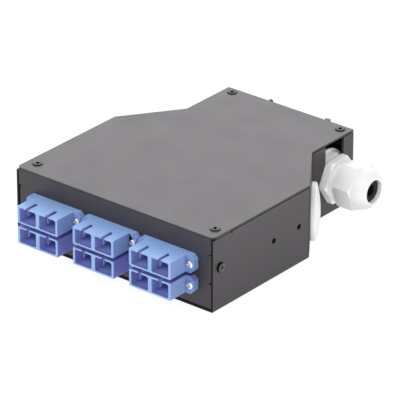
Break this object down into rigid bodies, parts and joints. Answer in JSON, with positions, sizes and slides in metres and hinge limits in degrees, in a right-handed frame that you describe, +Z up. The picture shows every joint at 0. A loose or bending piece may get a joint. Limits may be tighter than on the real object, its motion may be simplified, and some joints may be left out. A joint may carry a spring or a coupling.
{
  "type": "din rail fibre box",
  "caption": "Black folded-steel fibre termination box with blue duplex adapters in front, a white cable gland and blanking plug at the side, and a sprung rail clip behind.",
  "frame": {"origin": "centre of the underside of the tray floor", "axes": "+Z up out of the cover, -Y out of the front panel, +Y to the rail clip, +X to the side with the cable gland"},
  "size_m": [0.1291, 0.1623, 0.0406],
  "materials": {
    "case_paint": "fine-textured black powder coat, satin",
    "dark_zinc": "black-passivated zinc",
    "bright_zinc": "bright zinc plate",
    "blue_plastic": "moulded, semi-gloss",
    "inner_plastic": "moulded",
    "sleeve_ceramic": "ground ceramic",
    "white_nylon": "moulded, satin",
    "seal_rubber": "moulded",
    "tray_plastic": "moulded"
  },
  "bodies": {
    "case": {"base_tray": "case_paint", "top_cover": "case_paint", "front_panel": "case_paint", "cover_screws": "dark_zinc", "cover_clinch_nuts": "bright_zinc", "panel_side_screws": "dark_zinc", "panel_clinch_nuts": "bright_zinc", "adapter_screws": "bright_zinc", "adapter_nuts": "bright_zinc", "adapter_1_front_shell": "blue_plastic", "adapter_1_rear_shell": "blue_plastic", "adapter_1_holders": "inner_plastic", "adapter_1_sleeves": "sleeve_ceramic", "adapter_2_front_shell": "blue_plastic", "adapter_2_rear_shell": "blue_plastic", "adapter_2_holders": "inner_plastic", "adapter_2_sleeves": "sleeve_ceramic", "adapter_3_front_shell": "blue_plastic", "adapter_3_rear_shell": "blue_plastic", "adapter_3_holders": "inner_plastic", "adapter_3_sleeves": "sleeve_ceramic", "adapter_4_front_shell": "blue_plastic", "adapter_4_rear_shell": "blue_plastic", "adapter_4_holders": "inner_plastic", "adapter_4_sleeves": "sleeve_ceramic", "adapter_5_front_shell": "blue_plastic", "adapter_5_rear_shell": "blue_plastic", "adapter_5_holders": "inner_plastic", "adapter_5_sleeves": "sleeve_ceramic", "adapter_6_front_shell": "blue_plastic", "adapter_6_rear_shell": "blue_plastic", "adapter_6_holders": "inner_plastic", "adapter_6_sleeves": "sleeve_ceramic", "gland_body": "white_nylon", "gland_seal": "seal_rubber", "gland_locknut": "white_nylon", "blanking_plug": "white_nylon", "din_clip_bracket": "case_paint", "clip_rivets": "bright_zinc", "latch_spring": "bright_zinc", "splice_tray": "tray_plastic", "splice_tray_lid": "tray_plastic", "splice_comb": "tray_plastic", "tray_standoffs": "bright_zinc", "tray_screws": "bright_zinc"},
    "latch": {"din_latch": "case_paint"},
    "gland_nut": {"gland_dome_nut": "white_nylon"}
  },
  "joints": [
    {"name": "latch_slide", "type": "slide", "parent": "case", "child": "latch", "axis": [1, 0, 0], "range_m": [0, 0.004], "stiffness_N_per_m": 1000, "springref_m": -0.004, "deforming": ["latch_spring"]},
    {"name": "gland_nut_turn", "type": "hinge", "parent": "case", "child": "gland_nut", "pos_m": [0.04814, 0.05355, 0.019], "axis": [1, 0, 0], "range_deg": [0, 720]}
  ]
}
